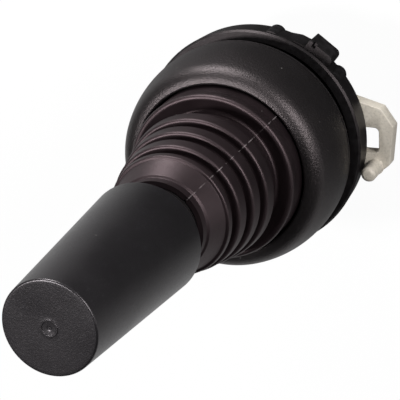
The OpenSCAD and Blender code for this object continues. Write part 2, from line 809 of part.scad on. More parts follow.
module locking_ring() {
    notch_r = barrel_r + lug_h + room;
    slot_mid = arm_reach - arm_rim - slot_w / 2;
    corner = 1;
    dome = 0.6;
    color(CREAM) {
        difference() {
            translate([0, 0, lock_z]) linear_extrude(height = lock_t) difference() {
                union() {
                    circle(r = lock_r);
                    arm_outline();
                }
                circle(r = slide_r);
                rotate([0, 0, slot_angle]) translate([slot_mid, 0]) {
                    square([slot_w - 2 * corner, slot_len], center = true);
                    square([slot_w, slot_len - 2 * corner], center = true);
                    for (x = [-1, 1], y = [-1, 1])
                        translate([x * (slot_w / 2 - corner), y * (slot_len / 2 - corner)]) circle(r = corner);
                }
            }
            intersection() {
                rod(notch_r, lock_z - 1, lock_front_z + 1);
                notches(notch_r + 1, lug_w + 2 * room, -lock_turn, lock_z - 1, lock_front_z + 1);
            }
        }
        rotate([0, 0, post_angle]) translate([post_off, 0, lock_front_z - eps]) {
            cylinder(r = post_r, h = post_h - dome);
            translate([0, 0, post_h - dome]) cylinder(r1 = post_r, r2 = post_r - dome, h = dome);
        }
    }
}

knob();
knob_insert();
lock_nut();
lever_shaft();
stem_sleeve();
pivot_hub();
pivot_pin();
actuator_plate();
plate_screw();
gimbal_ring();
gimbal_pins();
boot_upper();
boot_lower();
bezel();
gasket();
housing();
bezel_screws();
retaining_plate();
retaining_screws();
plunger_guide();
spring_block();
rear_cover();
cover_screws();
clamp_ring();
locking_ring();
plunger(EAST);  // plunger_east
plunger(NORTH);  // plunger_north
plunger(WEST);  // plunger_west
plunger(SOUTH);  // plunger_south
spring(EAST);  // spring_east
spring(NORTH);  // spring_north
spring(WEST);  // spring_west
spring(SOUTH);  // spring_south
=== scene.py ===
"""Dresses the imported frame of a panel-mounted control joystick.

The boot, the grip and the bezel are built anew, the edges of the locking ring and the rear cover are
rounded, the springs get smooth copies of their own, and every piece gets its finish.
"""

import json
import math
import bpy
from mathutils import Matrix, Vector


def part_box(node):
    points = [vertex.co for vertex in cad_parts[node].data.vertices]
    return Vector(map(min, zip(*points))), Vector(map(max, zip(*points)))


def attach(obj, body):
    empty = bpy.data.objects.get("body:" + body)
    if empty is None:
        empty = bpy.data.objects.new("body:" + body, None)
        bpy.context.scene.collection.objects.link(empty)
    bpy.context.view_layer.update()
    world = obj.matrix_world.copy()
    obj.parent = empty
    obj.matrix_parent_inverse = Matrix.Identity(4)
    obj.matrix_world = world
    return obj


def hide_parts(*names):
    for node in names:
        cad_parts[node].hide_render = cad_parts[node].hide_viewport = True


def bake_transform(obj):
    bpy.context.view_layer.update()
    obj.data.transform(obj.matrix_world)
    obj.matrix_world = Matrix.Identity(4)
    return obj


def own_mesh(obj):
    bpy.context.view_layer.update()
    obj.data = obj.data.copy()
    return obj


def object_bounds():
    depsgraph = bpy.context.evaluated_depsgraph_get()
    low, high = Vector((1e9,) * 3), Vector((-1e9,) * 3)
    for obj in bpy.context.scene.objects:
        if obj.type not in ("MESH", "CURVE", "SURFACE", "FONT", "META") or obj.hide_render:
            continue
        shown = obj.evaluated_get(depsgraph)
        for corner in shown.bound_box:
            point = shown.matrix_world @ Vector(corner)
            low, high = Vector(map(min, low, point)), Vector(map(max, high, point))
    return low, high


bl_info = {
    "name": "Panel joystick",
    "version": (1, 0, 0),
    "blender": (4, 5, 0),
    "location": "3D View > Sidebar > Joystick",
    "description": "Dresses a panel joystick: boot, grip, bezel, moulded edges, springs and finishes",
    "category": "Object",
}

import bmesh
import bpy
from bpy.props import FloatProperty, FloatVectorProperty, IntProperty, PointerProperty
from mathutils import Vector

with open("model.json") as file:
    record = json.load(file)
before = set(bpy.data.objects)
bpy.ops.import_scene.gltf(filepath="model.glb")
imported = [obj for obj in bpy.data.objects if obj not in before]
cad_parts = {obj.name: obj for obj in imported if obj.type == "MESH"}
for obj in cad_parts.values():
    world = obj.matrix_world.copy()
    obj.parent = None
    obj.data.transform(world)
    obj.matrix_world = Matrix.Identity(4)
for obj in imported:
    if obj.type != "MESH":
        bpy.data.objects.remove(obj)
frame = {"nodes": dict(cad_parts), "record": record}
cad_box = [list(corner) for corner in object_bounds()]

MM = 0.001
AXIS = (0, 0, 1)
WELD = 0.001 * MM  # points closer than this are one point
NO_STEP = 1e-9  # a smaller change of radius is none
REACH_SHARE = 0.48  # most of a neighbouring stretch that one rounding takes up
FIT = 0.05 * MM  # room between a dressed piece and the solid that it goes round


def top_of(node):
    """Height of a node's highest point."""
    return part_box(node)[1].z


def foot_of(node):
    """Height of a node's lowest point."""
    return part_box(node)[0].z


def radius_of(node):
    """Largest radius of a round node about the lever's axis."""
    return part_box(node)[1].x


# ---------- sizes and colours ----------


def length(name, description, value):
    """A size in metres that shows in the scene's own unit."""
    return FloatProperty(name=name, description=description, default=value, unit="LENGTH", precision=5)


def colour(name, description, value):
    """A linear colour."""
    return FloatVectorProperty(
        name=name, description=description, default=value, subtype="COLOR", size=3, min=0, max=1
    )


class JoystickBoot(bpy.types.PropertyGroup):
    """Sizes of the rubber boot."""

    wall: length("Wall", "Thickness of the rubber", 1.0 * MM)
    skirt_radius: length("Skirt radius", "Radius of the skirt inside the bezel", radius_of("boot_lower"))
    wide_ridge_radius: length("Wide ridge radius", "Radius of the ridge above the bezel", 17.2 * MM)
    wide_ridge_height: length("Wide ridge height", "Height of the ridge above the bezel", 21.8 * MM)
    ridge_radius: length("Ridge radius", "Radius of the lowest small ridge", 15.0 * MM)
    ridge_height: length("Ridge height", "Height of the lowest small ridge", 27.3 * MM)
    ridge_pitch: length("Ridge pitch", "Height from one small ridge to the next", 5.05 * MM)
    ridge_taper: length("Ridge taper", "Loss of radius from one small ridge to the next", 0.95 * MM)
    valley_depth: length("Valley depth", "Depth of the valleys between the ridges", 2.5 * MM)
    neck_radius: length("Neck radius", "Radius of the smooth neck", 9.2 * MM)
    flash_height: length("Flash height", "Height of the mould's parting line", 0.07 * MM)
    flash_width: length("Flash width", "Width of the mould's parting line", 0.2 * MM)
    flash_angle: FloatProperty(
        name="Flash angle",
        description="Direction of the mould's parting line round the lever's axis",
        default=math.radians(-98),
        subtype="ANGLE",
    )
    ridges: IntProperty(name="Ridges", description="Number of small ridges", default=4, min=2, max=6)
    sides: IntProperty(name="Sides", description="Number of faces round the boot", default=144, min=48)


class JoystickGrip(bpy.types.PropertyGroup):
    """Sizes of the tapered grip."""

    root_radius: length("Root radius", "Radius at the lower rim", 11.2 * MM)
    end_radius: length("End radius", "Radius at the free end", 8.8 * MM)
    rounding: length("Rounding", "Rounding of the two rims", 0.6 * MM)
    recess_radius: length("Recess radius", "Radius of the recess round the lock nut", 7.07 * MM)
    gate_radius: length("Gate mark radius", "Radius of the raised gate mark on the end", 1.6 * MM)
    sides: IntProperty(name="Sides", description="Number of faces round the grip", default=160, min=48)


class JoystickBezel(bpy.types.PropertyGroup):
    """Sizes of the round bezel."""

    girth_radius: length("Girth radius", "Largest radius of the bezel", radius_of("bezel"))
    girth_height: length("Girth height", "Height of the widest girth", 5.0 * MM)
    crest_rounding: length("Crest rounding", "Rounding of the crest round the opening", 3.9 * MM)
    opening_radius: length("Opening radius", "Radius of the opening that the boot comes out of", 17.7 * MM)
    lip: length("Lip", "Rounding of the opening's lip", 0.5 * MM)
    groove_depth: length("Groove depth", "Depth of the parting groove near the rear rim", 0.25 * MM)
    sides: IntProperty(name="Sides", description="Number of faces round the bezel", default=192, min=48)


class JoystickRings(bpy.types.PropertyGroup):
    """Sizes of the rounded edges of the locking ring and the rear cover."""

    rounding: length("Edge rounding", "Rounding of the moulded edges", 0.22 * MM)


class JoystickColours(bpy.types.PropertyGroup):
    """Colours of the joystick's finishes."""

    grip: colour("Grip", "Satin plastic of the grip", (0.0062, 0.0057, 0.0064))
    bezel: colour("Bezel", "Grained plastic of the bezel", (0.0058, 0.0052, 0.0054))
    rubber: colour("Rubber", "Rubber of the boot", (0.0068, 0.0045, 0.0051))
    flash: colour("Parting line", "Bare rubber along the boot's parting line", (0.15, 0.13, 0.133))
    black: colour("Black", "Moulded plastic of the rings and the housing", (0.0042, 0.0038, 0.0040))
    cream: colour("Cream", "Moulded plastic of the locking ring", (0.60, 0.55, 0.47))
    grey: colour("Grey", "Moulded plastic of the inner parts", (0.20, 0.21, 0.23))
    seal: colour("Seal", "Rubber of the gasket", (0.0035, 0.0033, 0.0035))
    steel: colour("Steel", "Zinc-plated steel", (0.62, 0.62, 0.60))
    wire: colour("Spring wire", "Drawn spring wire", (0.45, 0.44, 0.42))
    brass: colour("Brass", "Turned brass", (0.70, 0.47, 0.17))
    dust: colour("Dust", "Dust that settles on the finishes", (0.34, 0.32, 0.31))
    floor: colour("Floor", "Pale floor under the joystick", (0.03, 0.03, 0.03))


# ---------- modelling ----------


def deselect_all():
    """Leaves edit mode and clears the selection, so that an operator acts on one piece only."""
    if bpy.context.object and bpy.context.object.mode != "OBJECT":
        bpy.ops.object.mode_set(mode="OBJECT")
    bpy.ops.object.select_all(action="DESELECT")


def pick(piece):
    """Makes a piece the only selected one."""
    deselect_all()
    piece.select_set(True)
    bpy.context.view_layer.objects.active = piece


def every(element):
    """A selection test that accepts each element."""
    return True


def edit(piece, kind, select):
    """Opens a piece in edit mode with the elements selected that the test accepts."""
    pick(piece)
    bpy.ops.object.mode_set(mode="EDIT")
    bpy.ops.mesh.select_mode(type=kind)
    bpy.ops.mesh.select_all(action="DESELECT")
    mesh = bmesh.from_edit_mesh(piece.data)
    for element in {"VERT": mesh.verts, "EDGE": mesh.edges, "FACE": mesh.faces}[kind]:
        if select(element):
            element.select_set(True)
    mesh.select_flush_mode()
    bmesh.update_edit_mesh(piece.data)


def corner(radius, height, step):
    """A corner of an outline, a step (outwards, upwards, rounding) in millimetres from a point."""
    return radius + step[0] * MM, height + step[1] * MM, step[2] * MM


def fillet(corners, step=math.radians(15)):
    """Rounds the corners (radius, height, rounding) of an outline, and gives its points."""
    points = []
    for i, (r, z, rounding) in enumerate(corners):
        here = Vector((r, z))
        if rounding == 0 or i in (0, len(corners) - 1):
            points.append(here)
            continue
        back = Vector(corners[i - 1][:2]) - here
        ahead = Vector(corners[i + 1][:2]) - here
        half = back.angle(ahead) / 2
        reach = min(rounding / math.tan(half), REACH_SHARE * back.length, REACH_SHARE * ahead.length)
        rounding = reach * math.tan(half)
        centre = here + (back.normalized() + ahead.normalized()).normalized() * rounding / math.sin(half)
        first = here + back.normalized() * reach - centre
        last = here + ahead.normalized() * reach - centre
        turn = first.angle_signed(last)
        count = max(2, math.ceil(abs(turn) / step))
        for k in range(count + 1):
            angle = -turn * k / count
            cos, sin = math.cos(angle), math.sin(angle)
            points.append(centre + Vector((first.x * cos - first.y * sin, first.x * sin + first.y * cos)))
    return [(p.x, p.y) for p in points]


def turned(name, outline, sides, closed=False):
    """Turns an outline of (radius, height) points round the lever's axis, one extruded loop a point."""
    deselect_all()
    radius, height = outline[0]
    bpy.ops.mesh.primitive_circle_add(vertices=sides, radius=radius, location=(0, 0, height))
    bpy.ops.object.transform_apply(location=True, rotation=True, scale=True)
    piece = bpy.context.object
    piece.name = piece.data.name = name
    bpy.ops.object.mode_set(mode="EDIT")
    bpy.ops.mesh.select_mode(type="EDGE")
    bpy.ops.mesh.select_all(action="SELECT")
    for (r0, z0), (r1, z1) in zip(outline, outline[1:]):
        bpy.ops.mesh.extrude_region_move(TRANSFORM_OT_translate={"value": (0, 0, z1 - z0)})
        if abs(r1 - r0) > NO_STEP:
            bpy.ops.transform.resize(value=(r1 / r0, r1 / r0, 1), center_override=(0, 0, z1))
    if closed:
        mesh = bmesh.from_edit_mesh(piece.data)
        for edge in mesh.edges:
            edge.select_set(edge.is_boundary)
        bmesh.update_edit_mesh(piece.data)
        bpy.ops.mesh.bridge_edge_loops()
    bpy.ops.mesh.select_all(action="SELECT")
    bpy.ops.mesh.remove_doubles(threshold=WELD)
    bpy.ops.mesh.normals_make_consistent(inside=False)
    bpy.ops.object.mode_set(mode="OBJECT")
    return piece


def open_level(piece):
    """Height of one of a piece's open ends."""
    mesh = bmesh.new()
    mesh.from_mesh(piece.data)
    first = min(v.index for edge in mesh.edges if edge.is_boundary for v in edge.verts)
    mesh.free()
    return piece.data.vertices[first].co.z


def face_outwards(piece):
    """Points all of a piece's faces outwards."""
    edit(piece, "FACE", every)
    bpy.ops.mesh.normals_make_consistent(inside=False)
    bpy.ops.object.mode_set(mode="OBJECT")


def smooth(piece, angle):
    """Shades a piece smooth, except across edges sharper than the angle in degrees."""
    pick(piece)
    bpy.ops.object.shade_smooth_by_angle(angle=math.radians(angle))


def apply_modifier(piece, kind, **settings):
    """Adds a modifier with these settings and applies it."""
    pick(piece)
    bpy.ops.object.modifier_add(type=kind)
    modifier = piece.modifiers[-1]
    for key, value in settings.items():
        setattr(modifier, key, value)
    bpy.ops.object.modifier_apply(modifier=modifier.name)


def copied(node, name):
    """A copy of a node's mesh with its split points merged."""
    deselect_all()
    source = frame["nodes"][node]
    source.select_set(True)
    bpy.context.view_layer.objects.active = source
    bpy.ops.object.duplicate()
    piece = bpy.context.object
    piece.name = piece.data.name = name
    edit(piece, "VERT", every)
    bpy.ops.mesh.remove_doubles(threshold=WELD)
    bpy.ops.object.mode_set(mode="OBJECT")
    return piece


def wear(piece, material):
    """Gives a piece its one material."""
    piece.data.materials.clear()
    piece.data.materials.append(material)


# ---------- node helpers ----------


def feed(tree, made, links):
    """Links or sets a node's sockets."""
    for socket, source in links.items():
        if isinstance(source, bpy.types.NodeSocket):
            tree.links.new(source, made.inputs[socket])
        else:
            made.inputs[socket].default_value = source
    return made


def place(tree, kind, links=None, **settings):
    """Adds a node, sets its options, and links or sets its sockets."""
    made = tree.nodes.new("ShaderNode" + kind)
    for key, value in settings.items():
        setattr(made, key, value)
    return feed(tree, made, links or {})


def new_group(name, inputs, outputs):
    """A shader node group with named sockets, and its two end nodes."""
    tree = bpy.data.node_groups.new(name, "ShaderNodeTree")
    for label, kind, value in inputs:
        socket = tree.interface.new_socket(label, in_out="INPUT", socket_type="NodeSocket" + kind)
        if value is not None:
            socket.default_value = value
    for label, kind in outputs:
        tree.interface.new_socket(label, in_out="OUTPUT", socket_type="NodeSocket" + kind)
    return tree, tree.nodes.new("NodeGroupInput").outputs, tree.nodes.new("NodeGroupOutput").inputs


def math_node(tree, operation, first, second=0.0, clamp=False):
    """The result of one arithmetic node."""
    return place(tree, "Math", {0: first, 1: second}, operation=operation, use_clamp=clamp).outputs[0]


def remap(tree, value, low, high, to_low=0.0, to_high=1.0):
    """Stretches a value from one range to another, clamped."""
    links = {"Value": value, "From Min": low, "From Max": high, "To Min": to_low, "To Max": to_high}
    return place(tree, "MapRange", links, clamp=True).outputs["Result"]


def per_size(tree, vector, size):
    """Scales a position so that one unit is one feature of this size."""
    scale = math_node(tree, "DIVIDE", 1.0, size)
    return place(tree, "VectorMath", {0: vector, "Scale": scale}, operation="SCALE").outputs["Vector"]


def grain_group():
    """Spark-eroded mould grain: rounded pips with finer roughness between them."""
    tree, given, out = new_group(
        "Mould grain",
        [("Vector", "Vector", None), ("Grain Size", "Float", 0.4 * MM), ("Unevenness", "Float", 0.4)],
        [("Height", "Float"), ("Hollows", "Float")],
    )
    spot = per_size(tree, given["Vector"], given["Grain Size"])
    rounded = {"Vector": spot, "Scale": 1.0, "Smoothness": 0.6}
    cells = place(tree, "TexVoronoi", rounded, feature="SMOOTH_F1")
    fine = place(tree, "TexNoise", {"Vector": spot, "Scale": 2.3, "Detail": 2.0, "Roughness": 0.6})
    pips = remap(tree, cells.outputs["Distance"], 0.1, 0.85, 1.0, 0.0)
    rough = remap(tree, fine.outputs["Fac"], 0.3, 0.7)
    mixed = place(tree, "Mix", {0: given["Unevenness"], 2: pips, 3: rough}, data_type="FLOAT")
    tree.links.new(mixed.outputs[0], out["Height"])
    tree.links.new(remap(tree, mixed.outputs[0], 0.15, 0.5, 1.0, 0.0), out["Hollows"])


def handling_group():
    """Uneven sheen from hands and moulding: soft patches, and fine short scratches."""
    tree, given, out = new_group(
        "Handling",
        [("Vector", "Vector", None), ("Patch Size", "Float", 12 * MM), ("Scratch Length", "Float", 6 * MM)],
        [("Patches", "Float"), ("Scratches", "Float")],
    )
    wide = per_size(tree, given["Vector"], given["Patch Size"])
    broad = place(tree, "TexNoise", {"Vector": wide, "Detail": 4.0, "Scale": 1.0})
    tree.links.new(remap(tree, broad.outputs["Fac"], 0.32, 0.68), out["Patches"])
    spot = per_size(tree, given["Vector"], given["Scratch Length"])
    marks = None
    directions = ((0.4, (1, 26, 22)), (1.9, (24, 1, 30)), (2.7, (28, 25, 1)))
    for turn, squeeze in directions:
        laid = place(tree, "Mapping", {"Vector": spot, "Rotation": (turn, turn / 2, turn), "Scale": squeeze})
        lines = place(tree, "TexNoise", {"Vector": laid.outputs[0], "Scale": 1.0, "Detail": 1.0})
        line = remap(tree, lines.outputs["Fac"], 0.69, 0.74)
        marks = line if marks is None else math_node(tree, "MAXIMUM", marks, line)
    sparse = place(tree, "TexNoise", {"Vector": spot, "Scale": 0.9, "Detail": 0.0})
    gate = remap(tree, sparse.outputs["Fac"], 0.5, 0.6)
    tree.links.new(math_node(tree, "MULTIPLY", marks, gate), out["Scratches"])


def dust_group():
    """Scattered specks of dust and lint."""
    tree, given, out = new_group(
        "Dust specks",
        [
            ("Vector", "Vector", None),
            ("Spacing", "Float", 1.6 * MM),
            ("Speck", "Float", 0.1),
            ("Share", "Float", 0.2),
        ],
        [("Mask", "Float")],
    )
    spot = per_size(tree, given["Vector"], given["Spacing"])
    cells = place(tree, "TexVoronoi", {"Vector": spot, "Scale": 1.0})
    draw = place(tree, "SeparateColor", {0: cells.outputs["Color"]})
    chosen = math_node(tree, "LESS_THAN", draw.outputs[0], given["Share"])
    size = math_node(tree, "MULTIPLY", draw.outputs[1], given["Speck"])
    inside = math_node(tree, "LESS_THAN", cells.outputs["Distance"], size)
    tree.links.new(math_node(tree, "MULTIPLY", chosen, inside), out["Mask"])


def edge_group():
    """Rubbed edges: bright where the surface turns sharply outwards, broken up by noise."""
    tree, given, out = new_group(
        "Rubbed edges",
        [("Vector", "Vector", None), ("Start", "Float", 0.52), ("End", "Float", 0.6)],
        [("Mask", "Float")],
    )
    crest = place(tree, "NewGeometry").outputs["Pointiness"]
    spot = per_size(tree, given["Vector"], 1.2 * MM)
    breaks = place(tree, "TexNoise", {"Vector": spot, "Scale": 1.0, "Detail": 3.0})
    edge = remap(tree, crest, given["Start"], given["End"])
    broken = remap(tree, breaks.outputs["Fac"], 0.35, 0.6)
    tree.links.new(math_node(tree, "MULTIPLY", edge, broken), out["Mask"])


def turning_group():
    """Lathe marks: fine rings round an axis, and along its length."""
    tree, given, out = new_group(
        "Turning marks",
        [("Vector", "Vector", None), ("Pitch", "Float", 0.2 * MM)],
        [("Height", "Float"), ("Streaks", "Float")],
    )
    spot = per_size(tree, given["Vector"], given["Pitch"])
    part = place(tree, "SeparateXYZ", {0: spot})
    flat = place(tree, "CombineXYZ", {0: part.outputs[0], 1: part.outputs[1]})
    radius = place(tree, "VectorMath", {0: flat.outputs[0]}, operation="LENGTH").outputs["Value"]
    along = math_node(tree, "ADD", radius, part.outputs[2])
    full_turn = 6.28
    wave = math_node(tree, "SINE", math_node(tree, "MULTIPLY", along, full_turn))
    tree.links.new(remap(tree, wave, -1.0, 1.0), out["Height"])
    slow = math_node(tree, "MULTIPLY", along, 0.35)
    bands = place(tree, "TexNoise", {"W": slow, "Scale": 1.0, "Detail": 4.0}, noise_dimensions="1D")
    tree.links.new(remap(tree, bands.outputs["Fac"], 0.35, 0.65), out["Streaks"])


def use_group(tree, group, links):
    """Places a group in a material with this material's own values."""
    made = tree.nodes.new("ShaderNodeGroup")
    made.node_tree = bpy.data.node_groups[group]
    return feed(tree, made, links).outputs


def blank_material(name):
    """A material with its shader, and the position on the piece."""
    material = bpy.data.materials.new(name)
    material.use_nodes = True
    tree = material.node_tree
    shader = tree.nodes["Principled BSDF"]
    spot = place(tree, "Mapping", {"Vector": place(tree, "TexCoord").outputs["Object"]}).outputs[0]
    return material, tree, shader, spot


def tinted(tree, under, over, mask, share=1.0):
    """One colour laid over another through a mask."""
    weight = mask if share == 1.0 else math_node(tree, "MULTIPLY", mask, share)
    return place(tree, "Mix", {0: weight, 6: under, 7: over}, data_type="RGBA").outputs[2]


def bumped(tree, shader, heights):
    """Feeds the shader's normal from a chain of bumps of (height, distance, strength)."""
    normal = None
    for height, distance, strength in heights:
        links = {"Height": height, "Distance": distance, "Strength": strength}
        if normal:
            links["Normal"] = normal
        normal = place(tree, "Bump", links).outputs[0]
    tree.links.new(normal, shader.inputs["Normal"])


def shade(rgb, k=1.0):
    """A colour with its alpha, lightened or darkened."""
    return tuple(min(1.0, c * k) for c in rgb) + (1.0,)


def moulded(
    name, base, rough, grain, depth, dust, edge_colour, rubbed=0.5, tint=(1.0, 0.86, 0.88), gloss=0.5
):
    """Moulded plastic: mould grain, uneven sheen, rubbed edges, scratches and a little dust."""
    colours = bpy.context.scene.joystick_colours
    material, tree, shader, spot = blank_material(name)
    pips = use_group(tree, "Mould grain", {"Vector": spot, "Grain Size": grain, "Unevenness": 0.45})
    hands = use_group(tree, "Handling", {"Vector": spot, "Patch Size": 14 * MM, "Scratch Length": 2.2 * MM})
    edges = use_group(tree, "Rubbed edges", {"Vector": spot})
    specks = use_group(tree, "Dust specks", {"Vector": spot, "Speck": 0.1, "Share": 0.16})
    body = tinted(tree, shade(base, 0.86), shade(base, 1.14), hands["Patches"])
    body = tinted(tree, body, shade(base, 0.55), pips["Hollows"], 0.6)
    body = tinted(tree, body, shade(edge_colour), edges["Mask"], rubbed)
    body = tinted(tree, body, shade(edge_colour, 1.3), hands["Scratches"], 0.12)
    body = tinted(tree, body, shade(colours.dust), specks["Mask"], dust)
    tree.links.new(body, shader.inputs["Base Color"])
    sheen = remap(tree, hands["Patches"], 0.0, 1.0, rough - 0.03, rough + 0.04)
    sheen = math_node(tree, "ADD", sheen, math_node(tree, "MULTIPLY", pips["Hollows"], 0.08), clamp=True)
    tree.links.new(sheen, shader.inputs["Roughness"])
    shader.inputs["Specular Tint"].default_value = shade(tint)
    shader.inputs["Specular IOR Level"].default_value = gloss
    bumped(tree, shader, [(hands["Patches"], 0.06 * MM, 0.25), (pips["Height"], depth, 0.9)])
    return material


def rubber_material(name, base, rough, gloss=0.5):
    """Soft rubber: a fine matt skin, a paler parting line, flow marks and specks of dust."""
    scene = bpy.context.scene
    colours, boot = scene.joystick_colours, scene.joystick_boot
    material, tree, shader, spot = blank_material(name)
    skin = use_group(tree, "Mould grain", {"Vector": spot, "Grain Size": 0.22 * MM, "Unevenness": 0.7})
    hands = use_group(tree, "Handling", {"Vector": spot, "Patch Size": 9 * MM, "Scratch Length": 5 * MM})
    dusting = {"Vector": spot, "Spacing": 2.1 * MM, "Speck": 0.085, "Share": 0.22}
    specks = use_group(tree, "Dust specks", dusting)
    body = tinted(tree, shade(base, 0.8), shade(base, 1.25), hands["Patches"])
    body = tinted(tree, body, shade(base, 0.6), skin["Hollows"], 0.5)
    body = tinted(tree, body, shade(colours.dust), specks["Mask"], 0.35)
    whole = place(tree, "TexCoord").outputs["Object"]
    level = place(tree, "Mapping", {"Vector": whole, "Rotation": (0, 0, -boot.flash_angle)})
    part = place(tree, "SeparateXYZ", {0: level.outputs[0]}).outputs
    beside = math_node(tree, "ABSOLUTE", part[1])
    line = math_node(tree, "LESS_THAN", beside, boot.flash_width / 2)
    line = math_node(tree, "MULTIPLY", line, math_node(tree, "GREATER_THAN", part[0], MM))
    worn = place(tree, "TexNoise", {"Vector": per_size(tree, spot, 1.7 * MM), "Scale": 1.0, "Detail": 2.0})
    line = math_node(tree, "MULTIPLY", line, remap(tree, worn.outputs["Fac"], 0.44, 0.58))
    body = tinted(tree, body, shade(colours.flash), line, 0.85)
    tree.links.new(body, shader.inputs["Base Color"])
    matt = remap(tree, hands["Patches"], 0.0, 1.0, rough - 0.05, rough + 0.06)
    tree.links.new(matt, shader.inputs["Roughness"])
    shader.inputs["Specular Tint"].default_value = (1.0, 0.76, 0.81, 1.0)
    shader.inputs["Specular IOR Level"].default_value = gloss
    bumped(tree, shader, [(hands["Patches"], 0.1 * MM, 0.35), (skin["Height"], 0.012 * MM, 0.8)])
    return material


def metal_material(name, base, rough, pitch, depth, tarnish):
    """Turned or drawn metal: fine marks, brighter edges, and a film of tarnish."""
    material, tree, shader, spot = blank_material(name)
    marks = use_group(tree, "Turning marks", {"Vector": spot, "Pitch": pitch})
    hands = use_group(tree, "Handling", {"Vector": spot, "Patch Size": 4 * MM, "Scratch Length": 3 * MM})
    edges = use_group(tree, "Rubbed edges", {"Vector": spot})
    body = tinted(tree, shade(base, 0.9), shade(base, 1.08), marks["Streaks"])
    body = tinted(tree, body, tarnish, hands["Patches"], 0.3)
    body = tinted(tree, body, shade(base, 1.3), edges["Mask"], 0.6)
    tree.links.new(body, shader.inputs["Base Color"])
    shader.inputs["Metallic"].default_value = 1.0
    dull = remap(tree, hands["Patches"], 0.0, 1.0, rough - 0.06, rough + 0.1)
    dull = math_node(tree, "ADD", dull, math_node(tree, "MULTIPLY", hands["Scratches"], 0.15), clamp=True)
    tree.links.new(dull, shader.inputs["Roughness"])
    bumped(tree, shader, [(marks["Height"], depth, 0.6), (hands["Scratches"], depth / 2, -0.5)])
    return material


class JOYSTICK_OT_finishes(bpy.types.Operator):
    """Makes the finishes and gives every node of the frame its own"""

    bl_idname = "joystick.finishes"
    bl_label = "Finishes"

    def execute(self, context):
        colours = context.scene.joystick_colours
        for build in (grain_group, handling_group, dust_group, edge_group, turning_group):
            build()
        made = {
            "knob_plastic": moulded(
                "Satin grip",
                colours.grip,
                rough=0.31,
                grain=0.28 * MM,
                depth=0.014 * MM,
                dust=0.3,
                edge_colour=(0.1, 0.1, 0.11),
                rubbed=0,
                tint=(1.0, 0.92, 0.96),
            ),
            "grained_plastic": moulded(
                "Grained bezel",
                colours.bezel,
                rough=0.37,
                grain=0.42 * MM,
                depth=0.05 * MM,
                dust=0.35,
                edge_colour=(0.06, 0.057, 0.06),
                rubbed=0.3,
            ),
            "black_plastic": moulded(
                "Black moulding",
                colours.black,
                rough=0.4,
                grain=0.3 * MM,
                depth=0.01 * MM,
                dust=0.2,
                edge_colour=(0.02, 0.019, 0.02),
                gloss=0.25,
            ),
            "cream_plastic": moulded(
                "Cream moulding",
                colours.cream,
                rough=0.46,
                grain=0.5 * MM,
                depth=0.012 * MM,
                dust=0.12,
                edge_colour=(0.80, 0.77, 0.71),
            ),
            "grey_plastic": moulded(
                "Grey moulding",
                colours.grey,
                rough=0.45,
                grain=0.3 * MM,
                depth=0.012 * MM,
                dust=0.1,
                edge_colour=(0.4, 0.42, 0.45),
            ),
            "boot_rubber": rubber_material("Boot rubber", colours.rubber, rough=0.45),
            "seal_rubber": rubber_material("Seal rubber", colours.seal, rough=0.65, gloss=0.25),
            "steel": metal_material(
                "Plated steel",
                colours.steel,
                rough=0.3,
                pitch=0.22 * MM,
                depth=0.004 * MM,
                tarnish=(0.42, 0.41, 0.37, 1),
            ),
            "spring_steel": metal_material(
                "Spring wire",
                colours.wire,
                rough=0.34,
                pitch=0.1 * MM,
                depth=0.002 * MM,
                tarnish=(0.3, 0.27, 0.23, 1),
            ),
            "brass": metal_material(
                "Turned brass",
                colours.brass,
                rough=0.28,
                pitch=0.25 * MM,
                depth=0.006 * MM,
                tarnish=(0.42, 0.26, 0.1, 1),
            ),
        }
        for part in frame["record"]["subparts"]:
            wear(frame["nodes"][part["node"]], made[part["material_slot"]])
        return {"FINISHED"}


# ---------- boot ----------


# Corners of the boot, as steps (outwards, upwards, rounding) in millimetres
SKIRT_END = (0, -1.0, 0.8)
WIDE_FOOT = (-0.2, 1.8, 1.2)
WIDE_RIM = (0.15, 0.1, 0.75)
WIDE_VALLEY = (0, -3.0, 0.6)
RIDGE_FOOT = (0.1, -1.05, 0.55)
RIDGE_RIM = (-0.2, 2.26, 0.8)
RIDGE_BACK = (-1.9, 1.3, 0.5)
RIDGE_VALLEY = (-0.4, 1.5, 0.45)
BEAD_FOOT = (-0.1, 0.2, 0.45)
BEAD_RIM = (-0.72, 0.4, 0.12)
NECK_FOOT = (0.45, -2.05, 0.25)
NECK_STEP = (0, -1.75, 0.2)
NECK_TOP = (-0.02, 0, 0)


def boot_outline(boot):
    """The boot's outer line from the foot of the skirt to the top of the neck, in points."""
    crest, top = top_of("bezel"), top_of("boot_upper")
    wide, wide_z = boot.wide_ridge_radius, boot.wide_ridge_height
    corners = [
        (boot.skirt_radius, foot_of("boot_lower"), 0),
        corner(boot.skirt_radius, crest, SKIRT_END),
        corner(wide, crest, WIDE_FOOT),
        corner(wide, wide_z, WIDE_RIM),
        corner(boot.ridge_radius - boot.valley_depth, wide_z, WIDE_VALLEY),
    ]
    for i in range(boot.ridges):
        r = boot.ridge_radius - i * boot.ridge_taper
        z = boot.ridge_height + i * boot.ridge_pitch
        corners.append(corner(r, z, RIDGE_FOOT))
        if i < boot.ridges - 1:
            corners.append(corner(r, z, RIDGE_RIM))
            corners.append(corner(r, z, RIDGE_BACK))
            corners.append(corner(r - boot.valley_depth, z, RIDGE_VALLEY))
    # the topmost ridge, where r and z now are, carries the neck's bead
    corners += [
        corner(r, z, BEAD_FOOT),
        corner(r, z, BEAD_RIM),
        corner(boot.neck_radius, top, NECK_FOOT),
        corner(boot.neck_radius, top, NECK_STEP),
        corner(boot.neck_radius, top, NECK_TOP),
    ]
    return fillet(corners)


